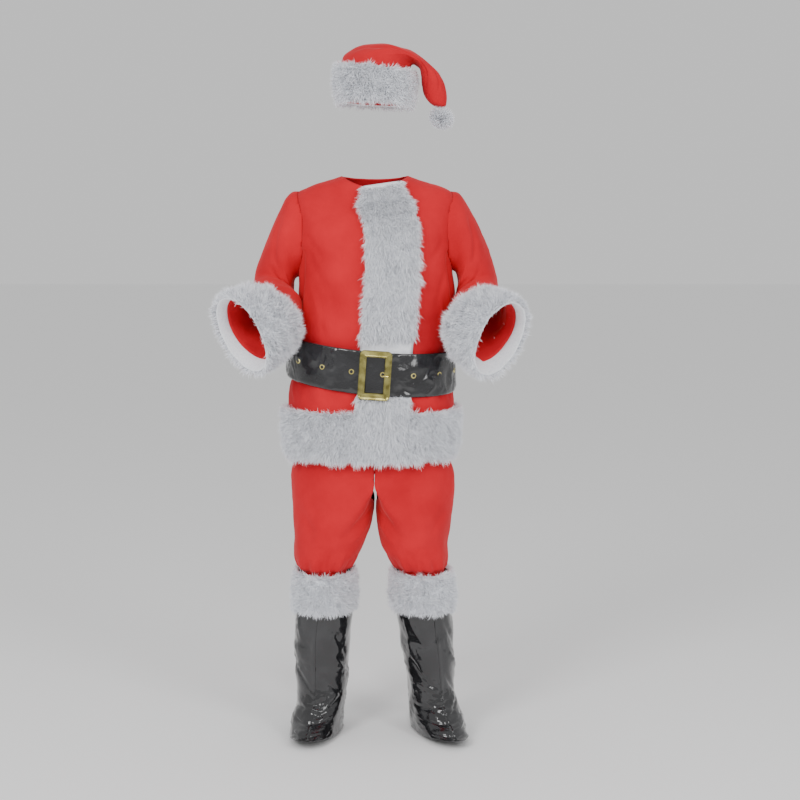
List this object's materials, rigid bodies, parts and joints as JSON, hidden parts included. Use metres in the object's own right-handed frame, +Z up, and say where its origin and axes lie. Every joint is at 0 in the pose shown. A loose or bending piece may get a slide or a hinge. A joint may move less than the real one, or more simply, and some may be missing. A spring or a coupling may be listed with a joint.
{
  "type": "santa suit, a worn costume set of hat, jacket, belt, trousers and boot covers",
  "caption": "Hollow worn Santa costume: floppy fur-trimmed hat, red jacket with fur strip and cuffs, wide black belt with buckle, red trousers and shiny black boot covers.",
  "frame": {"origin": "middle of the neck opening, level with the tops of the shoulders, where the wearer carries the jacket", "axes": "+Z up, the wearer faces -Y, the wearer's right side is -X"},
  "size_m": [0.7948, 0.4231, 1.8216],
  "materials": {
    "red_plush": "short-pile brushed plush, matte with a soft nap",
    "white_fur": "long-pile imitation fur, cool white",
    "black_vinyl": "thin creased shiny vinyl",
    "black_vinyl_strap": "padded shiny vinyl strap, crinkled",
    "buckle_gold": "antique gold, polished at the edges",
    "eyelet_gold": "bright yellow gold"
  },
  "bodies": {
    "root": {"jacket_back": "red_plush", "jacket_front_right": "red_plush", "jacket_front_left": "red_plush", "jacket_sleeve_right": "red_plush", "jacket_sleeve_left": "red_plush", "trousers_right_front": "red_plush", "trousers_right_back": "red_plush", "trousers_left_front": "red_plush", "trousers_left_back": "red_plush", "hat_crown": "red_plush", "cuff_fur_right": "white_fur", "cuff_fur_left": "white_fur", "placket_fur": "white_fur", "hem_fur_right": "white_fur", "hem_fur_left": "white_fur", "hem_fur_back": "white_fur", "boot_fur_right": "white_fur", "boot_fur_left": "white_fur", "hat_band": "white_fur", "hat_pompom": "white_fur", "boot_cover_right_outer": "black_vinyl", "boot_cover_right_inner": "black_vinyl", "boot_cover_left_outer": "black_vinyl", "boot_cover_left_inner": "black_vinyl", "belt_strap": "black_vinyl_strap", "buckle_frame": "buckle_gold", "buckle_prong": "eyelet_gold", "eyelet_01": "eyelet_gold", "eyelet_02": "eyelet_gold", "eyelet_03": "eyelet_gold", "eyelet_04": "eyelet_gold", "eyelet_05": "eyelet_gold", "eyelet_06": "eyelet_gold", "eyelet_07": "eyelet_gold", "eyelet_08": "eyelet_gold", "eyelet_09": "eyelet_gold", "eyelet_10": "eyelet_gold", "eyelet_11": "eyelet_gold", "eyelet_12": "eyelet_gold", "eyelet_13": "eyelet_gold", "eyelet_14": "eyelet_gold", "eyelet_15": "eyelet_gold"}
  },
  "joints": []
}
